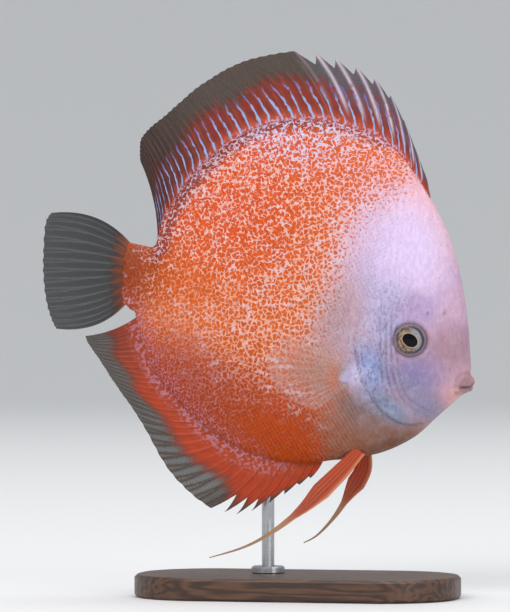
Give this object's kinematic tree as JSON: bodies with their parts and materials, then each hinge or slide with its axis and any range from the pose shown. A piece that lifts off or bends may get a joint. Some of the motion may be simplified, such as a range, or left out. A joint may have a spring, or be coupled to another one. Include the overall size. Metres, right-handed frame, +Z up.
{
  "type": "discus fish display model",
  "caption": "Life-size still model of a spotted discus fish, a tall flat disc of a body ringed by long fins, held nose down over a flat base by one short rod",
  "frame": {"origin": "centre of the underside of the stand's base", "axes": "+Z is up and the longest extent; the fish faces +X, nose down; +Y is towards its left flank and across the body"},
  "size_m": [0.156, 0.06, 0.1938],
  "materials": {
    "skin": "scaled skin, orange spots on a pale pink net, lavender head",
    "fin": "rayed membrane, brick red with blue streaks, smoky rim",
    "clear_fin": "translucent rayed membrane",
    "eye": "glossy, cream iris and dark pupil",
    "base_wood": "dark oiled wood, satin",
    "rod_steel": "brushed steel"
  },
  "bodies": {
    "root": {"head": "skin", "trunk": "skin", "tail_base": "skin", "gill_cover_right": "skin", "gill_cover_left": "skin", "eye_right": "eye", "eye_left": "eye", "dorsal_fin_spines": "fin", "dorsal_fin_rays": "fin", "anal_fin_spines": "fin", "anal_fin_rays": "fin", "caudal_fin": "clear_fin", "pectoral_fin_right": "clear_fin", "pectoral_fin_left": "clear_fin", "pelvic_fin_right": "fin", "pelvic_fin_left": "fin", "stand_base": "base_wood", "stand_rod": "rod_steel", "stand_washer": "rod_steel"}
  },
  "joints": []
}
